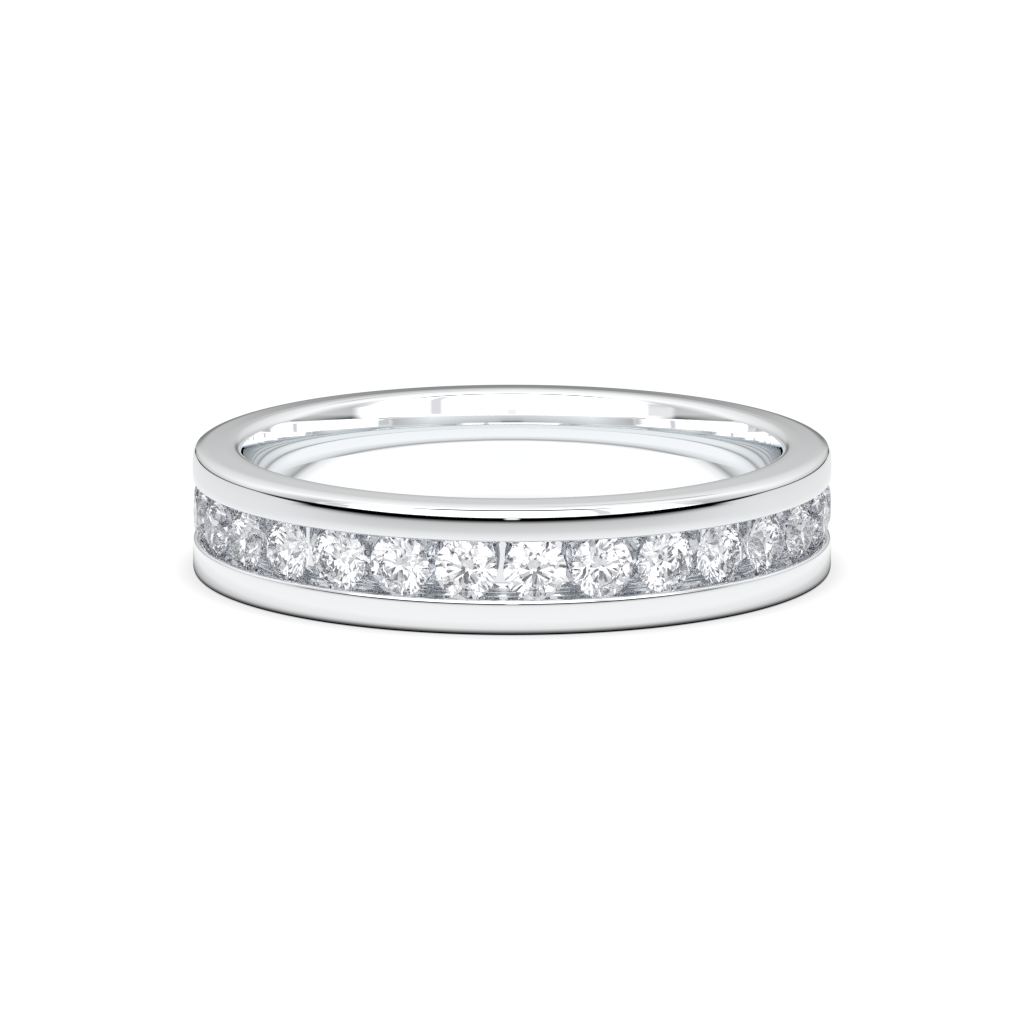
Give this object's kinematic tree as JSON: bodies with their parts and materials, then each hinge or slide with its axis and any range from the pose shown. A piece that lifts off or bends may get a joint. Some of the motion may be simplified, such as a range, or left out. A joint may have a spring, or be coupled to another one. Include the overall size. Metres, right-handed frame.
{
  "type": "channel set band",
  "caption": "Polished white metal finger ring, set all the way round with round brilliant cut stones held in a channel between plain rails.",
  "frame": {"origin": "centre of the finger hole, on the plane that the ring lies on", "axes": "+Z along the ring's axis, up from the surface that it lies on; -Y towards the front of the picture and +X towards its right"},
  "size_m": [0.02, 0.02, 0.004],
  "materials": {
    "polished_metal": "mirror polished",
    "clear_stone": "cut and polished facets"
  },
  "bodies": {
    "root": {"band": "polished_metal", "stone_01": "clear_stone", "stone_02": "clear_stone", "stone_03": "clear_stone", "stone_04": "clear_stone", "stone_05": "clear_stone", "stone_06": "clear_stone", "stone_07": "clear_stone", "stone_08": "clear_stone", "stone_09": "clear_stone", "stone_10": "clear_stone", "stone_11": "clear_stone", "stone_12": "clear_stone", "stone_13": "clear_stone", "stone_14": "clear_stone", "stone_15": "clear_stone", "stone_16": "clear_stone", "stone_17": "clear_stone", "stone_18": "clear_stone", "stone_19": "clear_stone", "stone_20": "clear_stone", "stone_21": "clear_stone", "stone_22": "clear_stone", "stone_23": "clear_stone", "stone_24": "clear_stone", "stone_25": "clear_stone", "stone_26": "clear_stone", "stone_27": "clear_stone", "stone_28": "clear_stone", "stone_29": "clear_stone"}
  },
  "joints": []
}
